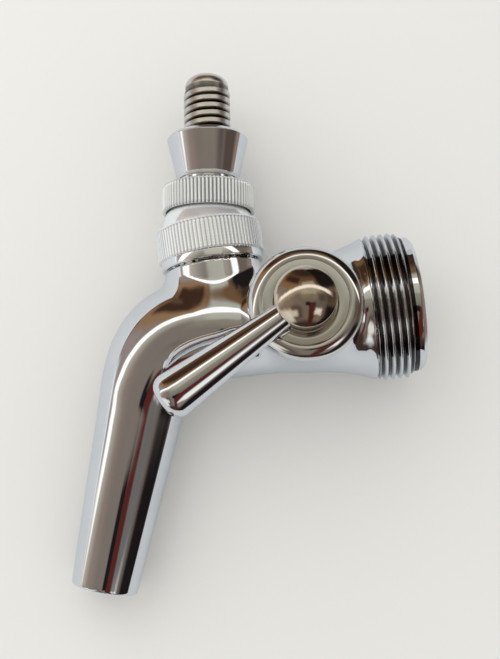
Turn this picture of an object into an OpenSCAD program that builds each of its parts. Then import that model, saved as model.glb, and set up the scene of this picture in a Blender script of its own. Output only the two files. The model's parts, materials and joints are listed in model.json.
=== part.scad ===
// Forward-sealing draught tap with a side flow-control lever.
// Origin: centre of the rear face, on the barrel axis. +X leaves the rear face towards the
// wall shank, +Z points up the neck, and the flow lever is on the -Y side.

/* [Rear end] */
// Outer diameter of the coupling thread
shank_d = 28.575; // [28:0.005:29]
// Pitch of the coupling thread
shank_pitch = 1.411; // [1.2:0.001:1.6]
// Number of crests on the coupling thread
shank_crests = 5; // [4:1:5]
// Length of the plain collar behind the thread
collar_len = 2.3; // [1.5:0.1:3]
// Radius of the plain collar
collar_r = 13.1; // [12.6:0.1:13.3]

/* [Barrel and spout] */
// Radius of the barrel in front of the flow boss
barrel_r = 10.35; // [10:0.05:10.8]
// Distance from the rear face to the elbow ball
elbow_x = 45.5; // [44.5:0.5:46.5]
// Radius of the elbow ball
elbow_r = 10.9; // [10.6:0.1:11.4]
// Distance from the rear face to the spout axis, on the barrel axis
spout_x = 51.8; // [51:0.2:53]
// Forward lean of the spout from vertical
spout_lean = 17.5; // [15:0.5:20]
// Length of the spout axis
spout_len = 50; // [44:1:56]
// Outer radius of the spout tip
tip_r = 6.45; // [6.2:0.05:7]
// Radius of the spout bore
spout_bore_r = 4.9; // [4.5:0.1:5.2]

/* [Neck and tap lever] */
// Distance from the rear face to the lever pivot
pivot_x = 39.2; // [39:0.1:39.6]
// Height of the lever pivot
pivot_z = 18.2; // [17.8:0.1:18.4]
// Forward lean of the neck
neck_lean = 2; // [1:0.5:3]
// Backward lean of the closed tap lever
lever_lean = 5.5; // [5:0.5:6.5]
// Radius of the lever's ball
ball_r = 6.5; // [6.3:0.05:6.5]
// Diameter of the handle thread on the lever
stud_d = 9.525; // [9.4:0.005:9.55]
// Pitch of the handle thread
stud_pitch = 1.5875; // [1.4:0.0005:1.6]
// Number of crests on the handle thread
stud_crests = 6; // [4:1:8]
// Number of teeth on each knurled ring
knurl_teeth = 76; // [48:2:80]

/* [Flow control] */
// Distance from the rear face to the flow stem
flow_x = 21.7; // [21.4:0.1:22]
// Radius of the flow bonnet
bonnet_r = 10.5; // [10:0.1:10.6]
// Distance from the barrel axis to the flow bonnet's front face
bonnet_front = 19.2; // [19:0.1:19.6]
// Radius of the flow lever's domed hub
hub_r = 5.4; // [5.3:0.05:5.5]
// Length of the flow lever from the hub's centre
flow_len = 30.9; // [26:0.5:34]
// Angle of the half-open flow lever below the barrel axis
flow_angle = 29.2; // [20:0.1:40]

/* [Hidden] */
$fn = 64;
eps = 0.02;

// Threads
shank_r = shank_d / 2;
shank_depth = 0.61 * shank_pitch;
shank_root_r = shank_r - shank_depth;
shank_len = shank_crests * shank_pitch;
stud_r = stud_d / 2;
stud_depth = 0.55 * stud_pitch;

// Bores of the body
socket_r = 10.8;
socket_depth = 4;
rear_bore_r = 5.5;
chamber_r = 7.6;
chamber_front = 50.4;
chamber_rear = 27;
plug_bore_r = 6.9;
plug_depth = 7;
boss_r = 9.4;
boss_bore_r = 8.5;
boss_shoulder = 9;
disc_h = 3;
boss_len = bonnet_front - disc_h;
neck_bore_r = 6.2;
pocket_r = 7.9;
pocket_bottom = 6.2;

// Neck, measured along its axis from the lever pivot
neck_flange = -6.2;
neck_flange_r = 9.6;
neck_top = 0.2;
neck_thread_r = 8.9;

// Elbow and spout
bend_r = 20;
bend_tube_r = 8.6;
bend_turn = 90 - spout_lean;
bend_x = spout_x - bend_r * tan(bend_turn / 2);
knee_r = 8.6;
knee_drop = 1.4;
wetted_knee_r = 5.6;
wetted_r = 5.3;
outlet_top = 12;

// Bonnet and lever, measured from the pivot
dome_r = 9.75;
dome_top = 8;
dome_hole_r = 6.6;
knurl_low = -4.2;
knurl_high = 2.4;
knurl_r = 10.6;
band_low = -5.9;
band_r = 10.2;
bonnet_shoulder = 3.7;
ball_gap = 0.06;
cap_low = 5.1;
cap_high = 10.55;
cap_r = 9.4;
cap_hollow_r = 10;
cap_plate = 9.85;
shaft_r = 5.1;
shaft_low = 9.9;
collar_low = 12;
collar_corner = 20.5;
collar_high = 21.4;
stud_low = 22.2;
stud_dome_r = 4.4;
stud_dome_h = 1.75;
tip_arm = 17.9;
tip_ball_r = 2.2;

// Valve shaft
tip_x = pivot_x + tip_arm * sin(lever_lean);
slot_half = 2.35;
guide_front = tip_x + 3.5;
guide_rear = tip_x - 3.6;
guide_r = 7.3;
nose_flange = 46.2;
nose_seat = 46.92;
seat_rear = 48.4;

// Flow control
stem_r = 4;
stem_in = 7.6;
stem_shoulder = bonnet_front - 1.8;
spindle_r = 3;
hub_y = bonnet_front + 3;
hub_rim = bonnet_front + 6;
hub_dome_r = 7.5;
handle_root_r = 2.3;
handle_end_r = 4.2;
handle_root = 4.6;

module on_neck() {
    translate([-pivot_x, 0, pivot_z]) rotate([0, -neck_lean, 0]) children();
}

module on_lever() {
    translate([-pivot_x, 0, pivot_z]) rotate([0, lever_lean, 0]) children();
}

module on_spout() {
    translate([-spout_x, 0, 0]) rotate([0, 180 + spout_lean, 0]) children();
}

// Along the flow stem: local +Z points out of the boss, towards -Y.
module on_stem() {
    translate([-flow_x, 0, 0]) rotate([90, 0, 0]) children();
}

// Along the flow lever, from the hub's centre.
module on_flow_lever() {
    translate([-flow_x, -hub_y, 0]) rotate([0, -90 - flow_angle, 0]) children();
}

// Along the barrel: local +Z points from the rear face towards the spout.
module on_barrel() {
    rotate([0, -90, 0]) children();
}

module ring(outer, inner, low, high) {
    translate([0, 0, low]) difference() {
        cylinder(r = outer, h = high - low);
        translate([0, 0, -1]) cylinder(r = inner, h = high - low + 2);
    }
}

module o_ring(centre_r, section_r, at) {
    translate([0, 0, at]) rotate_extrude() translate([centre_r, 0]) circle(r = section_r, $fn = 32);
}

// Half outline of ridges: crests of radius r, one per pitch, on a core that ends at the roots.
function ridges(r, depth, pitch, crests, low) = concat(
    [[0, low]], [[r - depth, low]],
    [for (i = [0 : crests - 1], k = [0 : 3])
        [k == 0 || k == 3 ? r - depth : r, low + pitch * (i + [0.06, 0.42, 0.58, 0.94][k])]],
    [[r - depth, low + crests * pitch]], [[0, low + crests * pitch]]
);

module ridged_rod(r, depth, pitch, crests, low) {
    rotate_extrude() polygon(ridges(r, depth, pitch, crests, low));
}

// Straight knurling: a ring of pointed teeth.
module knurl(r, depth, low, high) {
    translate([0, 0, low]) linear_extrude(height = high - low)
        polygon([for (i = [0 : 2 * knurl_teeth - 1])
            (r - (i % 2) * depth) * [cos(180 * i / knurl_teeth), sin(180 * i / knurl_teeth)]]);
}

module barrel() {
    flare_x = collar_len + shank_len;
    rotate_extrude() polygon([
        [0, 0], [collar_r - 0.7, 0], [collar_r, 0.7], [collar_r, collar_len],
        [shank_root_r, collar_len + eps], [shank_root_r, flare_x], [shank_root_r + 0.4, flare_x + 0.4],
        [12.3, 14.3], [11.4, 18.5], [10.8, 23], [barrel_r, 29], [barrel_r, elbow_x], [0, elbow_x]
    ]);
}

module spout() {
    start = bend_r * tan(bend_turn / 2);
    rotate_extrude() polygon([
        [0, start - 4], [bend_tube_r - 0.08, start - 4], [bend_tube_r - 0.1, start],
        [8.05, 22], [tip_r, spout_len - 0.5], [tip_r - 0.5, spout_len], [0, spout_len]
    ]);
}

module bend() {
    translate([-bend_x, 0, -bend_r]) rotate([90, 0, 0])
        rotate_extrude(angle = bend_turn, start = 90) translate([bend_r, 0]) circle(r = bend_tube_r);
}

module faucet_body() {
    color([0.80, 0.80, 0.82]) difference() {
        union() {
            on_barrel() barrel();
            on_barrel() ridged_rod(shank_r, shank_depth - 0.01, shank_pitch, shank_crests, collar_len);
            translate([-elbow_x, 0, 0]) sphere(r = elbow_r);
            on_spout() translate([0, 0, knee_drop]) sphere(r = knee_r);
            bend();
            on_spout() spout();
            on_neck() translate([0, 0, -pivot_z]) cylinder(r = neck_flange_r, h = pivot_z + neck_flange);
            on_neck() translate([0, 0, neck_flange - 1])
                cylinder(r = neck_thread_r, h = neck_top - neck_flange + 1);
            on_stem() cylinder(r = boss_r, h = boss_len);
        }
        on_barrel() translate([0, 0, -1]) cylinder(r = socket_r, h = socket_depth + 1);
        on_barrel() cylinder(r = rear_bore_r, h = flow_x);
        on_barrel() translate([0, 0, chamber_rear])
            cylinder(r = chamber_r, h = chamber_front - chamber_rear);
        on_barrel() translate([0, 0, chamber_rear]) cylinder(r = spout_bore_r, h = spout_x - chamber_rear);
        on_spout() translate([0, 0, knee_drop]) sphere(r = wetted_knee_r);
        on_spout() translate([0, 0, knee_drop]) cylinder(r = wetted_r, h = outlet_top - knee_drop);
        on_spout() translate([0, 0, knee_drop]) cylinder(r = spout_bore_r, h = spout_len);
        on_neck() translate([0, 0, -pivot_z]) cylinder(r = neck_bore_r, h = pivot_z);
        on_neck() translate([0, 0, -pocket_bottom]) cylinder(r = pocket_r, h = pocket_bottom + 2);
        on_stem() translate([0, 0, -plug_depth]) cylinder(r = plug_bore_r, h = plug_depth + boss_shoulder);
        on_stem() translate([0, 0, boss_shoulder]) cylinder(r = boss_bore_r, h = boss_len);
    }
}

module coupling_gasket() {
    color([0.10, 0.10, 0.10]) on_barrel() ring(socket_r - 0.1, 7, 1.2, socket_depth - 0.1);
}

module valve_seat() {
    color([0.72, 0.66, 0.50]) on_barrel()
        ring(chamber_r - 0.05, spout_bore_r + 0.1, seat_rear, chamber_front - 0.05);
}

// Lower bearing of the lever's ball.
module ball_cup() {
    color([0.90, 0.90, 0.86]) on_neck() difference() {
        ring(pocket_r - 0.1, 4.9, 0.1 - pocket_bottom, -1.05);
        sphere(r = ball_r + ball_gap);
    }
}

module lever_o_ring() {
    color([0.08, 0.08, 0.08]) on_neck() o_ring(7.2, 0.6, -0.35);
}

// Upper bearing of the lever's ball, pressed down by the compression bonnet.
module friction_ring() {
    color([0.90, 0.90, 0.86]) on_neck() difference() {
        ring(8, 5.4, 0.35, bonnet_shoulder - 0.05);
        sphere(r = ball_r + ball_gap);
    }
}

module compression_bonnet() {
    color([0.86, 0.86, 0.88]) on_neck() difference() {
        union() {
            intersection() {
                knurl(knurl_r, 0.35, knurl_low, knurl_high);
                rotate_extrude() polygon([
                    [0, knurl_low - 1], [knurl_r + 0.4, knurl_low - 1], [knurl_r + 0.4, knurl_high - 1.4],
                    [knurl_r - 1.5, knurl_high + 0.5], [0, knurl_high + 0.5]
                ]);
            }
            translate([0, 0, band_low]) cylinder(r = band_r, h = knurl_low - band_low + 1);
            intersection() {
                sphere(r = dome_r);
                cylinder(r = dome_r, h = dome_top);
            }
        }
        translate([0, 0, band_low - 1]) cylinder(r = neck_thread_r + 0.05, h = neck_top - band_low + 1.1);
        cylinder(r = 8.1, h = bonnet_shoulder);
        cylinder(r = dome_hole_r, h = dome_top + 1);
    }
}

module flow_bonnet() {
    edge = 2.4;
    color([0.84, 0.84, 0.86]) on_stem() difference() {
        rotate_extrude() polygon([
            [0, boss_shoulder + 0.9], [boss_bore_r - 0.05, boss_shoulder + 0.9],
            [boss_bore_r - 0.05, boss_len + 0.05], [bonnet_r - 0.5, boss_len + 0.05],
            [bonnet_r, boss_len + 0.55], [bonnet_r, bonnet_front - edge],
            for (a = [15 : 15 : 90])
                [bonnet_r - edge + edge * cos(a), bonnet_front - edge + edge * sin(a)],
            [0, bonnet_front]
        ]);
        translate([0, 0, bonnet_front - 1.6]) cylinder(r = 5.8, h = 2);
        cylinder(r = stem_r + 0.1, h = bonnet_front);
    }
}

module bonnet_gasket() {
    color([0.10, 0.10, 0.10]) on_stem() ring(boss_bore_r - 0.1, 7, boss_shoulder + 0.05, boss_shoulder + 0.85);
}

module tap_lever() {
    stud_high = stud_low + stud_crests * stud_pitch;
    dome_low = stud_high + 0.4 * stud_pitch;
    dome_sphere_r = (stud_dome_r * stud_dome_r + stud_dome_h * stud_dome_h) / (2 * stud_dome_h);
    color([0.66, 0.64, 0.61]) on_lever() union() {
        sphere(r = ball_r);
        rotate_extrude() polygon([
            [0, 4], [3.6, 4], [3.6, shaft_low], [shaft_r, shaft_low + eps],
            [shaft_r, collar_high], [stud_r - stud_depth, stud_low], [0, stud_low + 1]
        ]);
        ridged_rod(stud_r, stud_depth, stud_pitch, stud_crests, stud_low);
        translate([0, 0, stud_high - eps])
            cylinder(r1 = stud_r - stud_depth, r2 = stud_dome_r, h = dome_low - stud_high + 2 * eps);
        intersection() {
            translate([0, 0, dome_low + stud_dome_h - dome_sphere_r]) sphere(r = dome_sphere_r);
            translate([0, 0, dome_low]) cylinder(r = stud_d, h = stud_d);
        }
        translate([0, 0, -13]) cylinder(r = 2, h = 9);
        translate([0, 0, -tip_arm]) cylinder(r = 1.25, h = 6);
        translate([0, 0, -tip_arm]) sphere(r = tip_ball_r);
    }
}

// Knurled cap over the bonnet's dome. It tilts with the lever.
module dust_cap() {
    color([0.86, 0.86, 0.88]) on_lever() difference() {
        intersection() {
            knurl(cap_r, 0.35, cap_low, cap_high);
            rotate_extrude() polygon([
                [0, cap_low - 1], [cap_r - 0.9, cap_low - 1], [cap_r + 0.4, cap_low + 0.6],
                [cap_r + 0.4, cap_high - 0.9], [cap_r - 0.9, cap_high + 0.5], [0, cap_high + 0.5]
            ]);
        }
        intersection() {
            sphere(r = cap_hollow_r);
            cylinder(r = cap_hollow_r, h = cap_plate);
        }
        cylinder(r = shaft_r + 0.05, h = cap_high + 1);
    }
}

module cap_washer() {
    color([0.15, 0.15, 0.16]) on_lever() ring(6.1, shaft_r + 0.05, cap_high + 0.05, cap_high + 0.85);
}

module lever_collar() {
    color([0.80, 0.80, 0.82]) on_lever() difference() {
        rotate_extrude() polygon([
            [0, cap_high + 0.9], [5.8, cap_high + 0.9], [5.8, collar_low],
            [6.1, collar_low], [6.4, collar_low + 0.6], [8.2, collar_corner],
            [7.3, collar_high - 0.1], [6.1, collar_high], [0, collar_high]
        ]);
        cylinder(r = shaft_r + 0.05, h = collar_high + 1);
    }
}

// Slides along the barrel. The lever's tip works in its cross slot.
module valve_shaft() {
    slot_top = 3.2;
    color([0.74, 0.74, 0.72]) difference() {
        union() {
            on_barrel() translate([0, 0, guide_rear]) cylinder(r = guide_r, h = guide_front - guide_rear);
            on_barrel() translate([0, 0, guide_front - 1]) cylinder(r = 2.6, h = 49 - guide_front + 1);
        }
        translate([-guide_front - 0.5, -10, slot_top]) cube([guide_front - guide_rear + 1, 20, 10]);
        for (side = [-1, 1])
            translate([-guide_front - 0.5, side * 10 - 5, -10]) cube([guide_front - guide_rear + 1, 10, 20]);
        translate([-tip_x - slot_half, -10, -3.2]) cube([2 * slot_half, 20, 10]);
    }
}

module shaft_nose() {
    color([0.74, 0.74, 0.72]) on_barrel() difference() {
        rotate_extrude() polygon([
            [0, nose_flange], [6.9, nose_flange], [6.9, nose_seat - 0.02], [5.1, nose_seat - 0.02],
            [5.1, 48.2], [4.6, 48.3], [2.6, 50.2], [0, 50.2]
        ]);
        cylinder(r = 2.65, h = 49.1);
    }
}

module nose_o_ring() {
    color([0.08, 0.08, 0.08]) on_barrel() o_ring(5.9, 0.7, nose_seat + 0.72);
}

module flow_stem() {
    color([0.74, 0.74, 0.72]) on_stem() union() {
        difference() {
            rotate_extrude() polygon([
                [0, stem_in], [stem_r, stem_in], [stem_r, boss_shoulder], [3.3, boss_shoulder],
                [3.3, boss_shoulder + 0.85], [stem_r, boss_shoulder + 0.85], [stem_r, stem_shoulder],
                [spindle_r, stem_shoulder], [spindle_r, hub_y + 0.5], [0, hub_y + 0.5]
            ]);
            for (at = [12.2, 14.6]) o_ring(3.72, 0.42, at);
        }
        translate([-2.5, -0.9, 4.5]) cube([5, 1.8, stem_in - 4.4]);
    }
}

module stem_o_rings() {
    color([0.08, 0.08, 0.08]) on_stem() for (at = [12.2, 14.6]) o_ring(3.72, 0.35, at);
}

module stem_clip() {
    color([0.70, 0.70, 0.70]) on_stem() difference() {
        ring(5.8, 3.35, boss_shoulder + 0.05, boss_shoulder + 0.8);
        translate([0, -2.4, 0]) cube([10, 4.8, 20]);
    }
}

// Cross-drilled plug. Turning it opens or shuts the way through the barrel.
module throttle_plug() {
    color([0.88, 0.88, 0.84]) on_stem() difference() {
        translate([0, 0, 0.2 - plug_depth]) cylinder(r = plug_bore_r - 0.06, h = plug_depth + 7);
        translate([0, 0, -0.6]) rotate([0, 0, flow_angle]) rotate([0, 90, 0])
            cylinder(r = 4.4, h = 30, center = true);
        translate([-2.6, -1, 4.4]) cube([5.2, 2, 10]);
    }
}

module flow_hub() {
    color([0.66, 0.60, 0.52]) difference() {
        on_stem() union() {
            translate([0, 0, bonnet_front - 1.45]) cylinder(r = hub_r, h = hub_rim - bonnet_front + 1.45);
            intersection() {
                translate([0, 0, hub_rim - sqrt(hub_dome_r * hub_dome_r - hub_r * hub_r)])
                    sphere(r = hub_dome_r);
                translate([0, 0, hub_rim - 0.02]) cylinder(r = hub_r, h = hub_r);
            }
        }
        on_stem() cylinder(r = spindle_r + 0.05, h = hub_y + 0.6);
        on_flow_lever() cylinder(r = 1.55, h = hub_r + 1);
        on_flow_lever() translate([0, 0, handle_root - 0.05]) cylinder(r = handle_root_r + 0.15, h = 3);
    }
}

module flow_handle() {
    corner = 2.4;
    body_end = flow_len - corner;
    color([0.80, 0.80, 0.82]) on_flow_lever() union() {
        rotate_extrude() polygon([
            [0, handle_root], [handle_root_r, handle_root], [handle_end_r, body_end],
            for (a = [18 : 18 : 72])
                [handle_end_r - corner + corner * cos(a), body_end + corner * sin(a)],
            [handle_end_r - corner, flow_len - 0.05], [0, flow_len]
        ]);
        translate([0, 0, 3.3]) cylinder(r = 1.5, h = 4);
    }
}

faucet_body();
coupling_gasket();
valve_seat();
ball_cup();
lever_o_ring();
friction_ring();
compression_bonnet();
flow_bonnet();
bonnet_gasket();
tap_lever();
dust_cap();
cap_washer();
lever_collar();
valve_shaft();
shaft_nose();
nose_o_ring();
flow_stem();
stem_o_rings();
stem_clip();
throttle_plug();
flow_hub();
flow_handle();
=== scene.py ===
"""Looks for the draught tap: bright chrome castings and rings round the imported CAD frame."""
import json
import math

import bmesh
import bpy
import numpy as np
from mathutils import Matrix, Vector

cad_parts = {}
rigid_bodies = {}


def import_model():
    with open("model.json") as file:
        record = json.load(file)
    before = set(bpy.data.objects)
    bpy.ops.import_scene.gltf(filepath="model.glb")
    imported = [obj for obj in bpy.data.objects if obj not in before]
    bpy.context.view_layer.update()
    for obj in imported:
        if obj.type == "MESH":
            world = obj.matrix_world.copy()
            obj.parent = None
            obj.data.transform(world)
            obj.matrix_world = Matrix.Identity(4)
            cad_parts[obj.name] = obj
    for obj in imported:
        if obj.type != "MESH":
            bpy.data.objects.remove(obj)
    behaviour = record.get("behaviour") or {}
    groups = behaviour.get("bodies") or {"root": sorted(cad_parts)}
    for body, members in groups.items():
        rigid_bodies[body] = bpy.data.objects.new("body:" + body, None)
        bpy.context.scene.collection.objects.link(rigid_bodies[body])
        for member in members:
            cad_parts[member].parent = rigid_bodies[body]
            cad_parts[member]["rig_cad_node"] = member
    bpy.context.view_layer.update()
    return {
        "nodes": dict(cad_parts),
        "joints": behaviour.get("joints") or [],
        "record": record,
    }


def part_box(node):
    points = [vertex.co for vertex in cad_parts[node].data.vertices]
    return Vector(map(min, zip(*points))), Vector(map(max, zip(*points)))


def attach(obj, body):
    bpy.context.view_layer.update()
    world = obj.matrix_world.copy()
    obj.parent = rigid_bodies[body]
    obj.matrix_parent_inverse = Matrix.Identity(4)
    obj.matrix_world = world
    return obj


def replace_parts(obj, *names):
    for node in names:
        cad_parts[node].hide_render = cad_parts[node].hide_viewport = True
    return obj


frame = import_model()

MM = 0.001
RECORD = frame["record"]
MOUNTS = {m["name"]: m for m in RECORD["mounts"]}
JOINTS = {j["name"]: j for j in frame["joints"]}


# ---------------------------------------------------------------- places, from the frame
def axes(origin, z_axis, x_hint):
    """A local frame with +Z along z_axis, as a 4x4 in metres."""
    z = Vector(z_axis).normalized()
    y = z.cross(Vector(x_hint)).normalized()
    x = y.cross(z)
    rotation = Matrix((x, y, z)).transposed().to_4x4()
    return Matrix.Translation(Vector(origin)) @ rotation


PIVOT = Vector(JOINTS["tap_lever"]["pos_m"])
STEM = Vector(JOINTS["flow_lever"]["pos_m"])
SPOUT_AXIS = Vector(MOUNTS["spout_outlet"]["axis"])
outlet = Vector(MOUNTS["spout_outlet"]["pos_m"])
SPOUT_TOP = outlet - SPOUT_AXIS * (outlet.z / SPOUT_AXIS.z)
LEVER_AXIS = Vector(MOUNTS["handle_stud"]["axis"])
NECK_LEAN = math.radians(2)
NECK_AXIS = Vector((-math.sin(NECK_LEAN), 0, math.cos(NECK_LEAN)))

BARREL = axes((0, 0, 0), (-1, 0, 0), (0, 0, 1))
NECK = axes(PIVOT, NECK_AXIS, (1, 0, 0))
LEVER = axes(PIVOT, LEVER_AXIS, (1, 0, 0))
SPOUT = axes(SPOUT_TOP, SPOUT_AXIS, (1, 0, 0))
BOSS = axes(STEM, (0, -1, 0), (1, 0, 0))

hub_low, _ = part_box("flow_hub")
hub_top = -hub_low.y / MM

# Driving sizes in millimetres. Mounts give the radii, and the rest repeat the CAD's.
THREAD_R = MOUNTS["shank_thread"]["dims"]["r_mm"]
THREAD_PITCH = 1.411
THREAD_START, THREAD_TURNS = 2.3, 5
THREAD_DEPTH = 0.61 * THREAD_PITCH
COLLAR_R = 13.1
SOCKET_R, SOCKET_DEPTH = 10.8, 4.0
REAR_BORE_R = 5.5
STUD_R = MOUNTS["handle_stud"]["dims"]["r_mm"]
STUD_PITCH, STUD_START, STUD_TURNS = 1.5875, 21.75, 6
STUD_DEPTH = 0.45 * STUD_PITCH
BORE_R = MOUNTS["spout_outlet"]["dims"]["r_mm"]
SPOUT_LEN, TIP_R = 50.0, 6.45
BALL_R = 6.5
NECK_R, NECK_FLANGE, NECK_BORE_R = 9.6, -6.2, 6.2
BOSS_R, BOSS_BORE_R = 9.4, 6.9
CHAMBER_R, CHAMBER_START, CHAMBER_END = 7.6, 27, 50.4
ELBOW_BALL_R, ELBOW_BALL_AT = 5.3, 1.4
DISC_R, DISC_FRONT, DISC_H = 10.5, 19.2, 3.0
HUB_R, HUB_DOME_R = 5.4, 7.5
HUB_DROP = math.sqrt(HUB_DOME_R ** 2 - HUB_R ** 2)
HUB_RIM = hub_top - HUB_DOME_R + HUB_DROP
HUB_Y = DISC_FRONT + 3.0
FLOW_ANGLE = math.radians(29.2)
FLOW_LEN = 30.9


# ---------------------------------------------------------------- mesh helpers
def finish_mesh(name, bm, matrix, body, stands_for=(), sharp=38, weighted=True):
    """Puts a bmesh (millimetres, local frame) into the scene as a smooth piece on a body."""
    bmesh.ops.recalc_face_normals(bm, faces=bm.faces)
    for v in bm.verts:
        v.co *= MM
    limit = math.radians(sharp)
    for e in bm.edges:
        e.smooth = len(e.link_faces) == 2 and e.calc_face_angle(0) < limit
    for f in bm.faces:
        f.smooth = True
    mesh = bpy.data.meshes.new(name)
    bm.to_mesh(mesh)
    bm.free()
    piece = bpy.data.objects.new(name, mesh)
    bpy.context.scene.collection.objects.link(piece)
    piece.matrix_world = matrix
    if weighted:
        modifier = piece.modifiers.new("weighted", "WEIGHTED_NORMAL")
        modifier.keep_sharp = True
    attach(piece, body)
    if stands_for:
        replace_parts(piece, *stands_for)
    return piece


def arc(centre, radius, start, end, steps):
    """Points of an arc in the (r, z) half plane, angles in degrees from +r."""
    return [
        (centre[0] + radius * math.cos(math.radians(a)), centre[1] + radius * math.sin(math.radians(a)))
        for a in np.linspace(start, end, steps + 1)
    ]


def soften(points, radius=0.25, steps=4):
    """Rounds the corners of a closed half outline. A point may carry its own radius as a third value."""
    out = []
    n = len(points)
    for i, point in enumerate(points):
        r = point[2] if len(point) > 2 else radius
        a, b, c = (np.array(points[j % n][:2], float) for j in (i - 1, i, i + 1))
        u, v = a - b, c - b
        lu, lv = np.linalg.norm(u), np.linalg.norm(v)
        if r <= 0 or b[0] < 1e-6 or lu < 1e-6 or lv < 1e-6:
            out.append(tuple(b))
            continue
        u, v = u / lu, v / lv
        angle = math.acos(max(-1.0, min(1.0, float(u @ v))))
        if angle > math.radians(172):
            out.append(tuple(b))
            continue
        cut = min(r / math.tan(angle / 2), 0.45 * lu, 0.45 * lv)
        p, q = b + u * cut, b + v * cut
        for t in np.linspace(0, 1, steps + 1):
            out.append(tuple((1 - t) ** 2 * p + 2 * t * (1 - t) * b + t * t * q))
    return out


def lathe(name, outline, matrix, body, stands_for=(), steps=160, ripple=None, **more):
    """A closed solid of revolution. outline is a closed loop of (r, z); ripple(r, z, angle) may
    move a point in or out."""
    bm = bmesh.new()
    angles = np.linspace(0, 2 * math.pi, steps, endpoint=False)
    rings = []
    for r, z in outline:
        if r < 1e-6:
            rings.append([bm.verts.new((0, 0, z))])
            continue
        ring = []
        for a in angles:
            q = r + (ripple(r, z, a) if ripple else 0.0)
            ring.append(bm.verts.new((q * math.cos(a), q * math.sin(a), z)))
        rings.append(ring)
    for i, low in enumerate(rings):
        high = rings[(i + 1) % len(rings)]
        if len(low) == 1 and len(high) == 1:
            continue
        for k in range(steps):
            m = (k + 1) % steps
            if len(low) == 1:
                bm.faces.new((low[0], high[k], high[m]))
            elif len(high) == 1:
                bm.faces.new((low[k], low[m], high[0]))
            else:
                bm.faces.new((low[k], low[m], high[m], high[k]))
    return finish_mesh(name, bm, matrix, body, stands_for, **more)


def helix(
    name, matrix, body, stands_for, major, depth, pitch, low, high, inner, hollow, steps=120, steep=1.35
):
    """A right-handed screw thread whose ends run out at low and high. Steeper flanks leave wider crests."""
    rows = 16
    bm = bmesh.new()
    first, last = low - 1.2 * pitch, high + 0.2 * pitch
    count = int(round((last - first) / pitch * rows))
    grid = []
    for k in range(steps + 1):
        turn = k / steps
        column = []
        for j in range(count + 1):
            t = first + pitch * j / rows
            z = t + pitch * turn
            phase = (j % rows) / rows
            flank = min(1.0, max(0.0, (0.5 - abs(phase - 0.5)) * 2.0 * steep - 0.12))
            r = major - depth * (1 - flank)
            run = min(1.0, (z - low) / (0.55 * pitch), (high - z) / (0.55 * pitch))
            r = min(r, major - depth * (1 - run)) if run > 0 else inner
            angle = 2 * math.pi * turn
            column.append(bm.verts.new((r * math.cos(angle), r * math.sin(angle), z)))
        grid.append(column)
    for a, b in zip(grid, grid[1:]):
        for j in range(count):
            bm.faces.new((a[j], b[j], b[j + 1], a[j + 1]))
    bmesh.ops.remove_doubles(bm, verts=bm.verts, dist=1e-4)
    rim = [e for e in bm.edges if e.is_boundary]
    if hollow:
        bmesh.ops.bridge_loops(bm, edges=rim)
    else:
        bmesh.ops.holes_fill(bm, edges=rim)
    return finish_mesh(name, bm, matrix, body, stands_for, sharp=60, weighted=False)


# ---------------------------------------------------------------- body casting, as a distance field
def smooth_union(a, b, k):
    """Joins two solids with a soft blend about k wide."""
    h = np.clip(0.5 + 0.5 * (b - a) / k, 0, 1)
    return b * (1 - h) + a * h - k * h * (1 - h)


def smooth_cut(a, b, k):
    """Takes b out of a, with the edge softened."""
    return -smooth_union(-a, b, k)


def split(p, matrix):
    """Distance along a local frame's Z axis, and distance from that axis, in millimetres."""
    m = np.array(matrix, float)
    d = p - m[:3, 3] / MM
    along = d @ m[:3, 2]
    return along, np.sqrt(np.maximum((d * d).sum(-1) - along * along, 1e-12))


def rod(p, matrix, radius, low, high, corner=0.0):
    """Distance to a cylinder on a local frame's Z axis, with rounded rims."""
    along, rho = split(p, matrix)
    dx = rho - radius + corner
    dz = np.abs(along - (low + high) / 2) - (high - low) / 2 + corner
    return np.minimum(np.maximum(dx, dz), 0) + np.hypot(np.maximum(dx, 0), np.maximum(dz, 0)) - corner


def smooth_table(stations, radii, steps=400):
    """Stations joined by a monotone curve, as a dense table for np.interp."""
    x, y = np.array(stations, float), np.array(radii, float)
    slope = np.diff(y) / np.diff(x)
    tangent = np.r_[slope[0], (slope[1:] + slope[:-1]) / 2, slope[-1]]
    t = np.linspace(x[0], x[-1], steps)
    i = np.clip(np.searchsorted(x, t) - 1, 0, len(x) - 2)
    h = x[i + 1] - x[i]
    s = (t - x[i]) / h
    value = (
        (2 * s ** 3 - 3 * s ** 2 + 1) * y[i] + (s ** 3 - 2 * s ** 2 + s) * h * tangent[i]
        + (3 * s ** 2 - 2 * s ** 3) * y[i + 1] + (s ** 3 - s ** 2) * h * tangent[i + 1]
    )
    return t, value


FLANGE = THREAD_START + THREAD_TURNS * THREAD_PITCH

# The elbow's spine: it leaves the barrel's axis, turns with a curvature that swells and fades, and
# joins the spout's axis. Stations along it give the tube's half sizes outwards, inwards, sideways
# away from the camera and sideways towards it.
TURN = math.pi / 2 - math.asin(-SPOUT_AXIS.x)
SPINE_LEN, SPINE_EASE = 32.0, 8.0
TUBE_R = 10.35
STATIONS = (0, 4, 8, 12, 16, 20, 24, 28, 32, 46, 64)
OUTWARD = (9.3, 9.75, 10.8, 11.6, 11.55, 10.75, 9.5, 8.62, 8.28, 7.47, TIP_R - 0.03)
INWARD = (TUBE_R, 10.3, 10.1, 9.85, 9.55, 9.25, 8.85, 8.5, 8.28, 7.47, TIP_R - 0.03)
SIDEWAYS = (TUBE_R, 10.33, 10.2, 10.0, 9.7, 9.35, 8.95, 8.55, 8.28, 7.47, TIP_R - 0.03)
FRONTWARD = (10.9, 11.3, 11.3, 11.0, 10.4, 9.75, 9.15, 8.6, 8.28, 7.47, TIP_R - 0.03)
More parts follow.
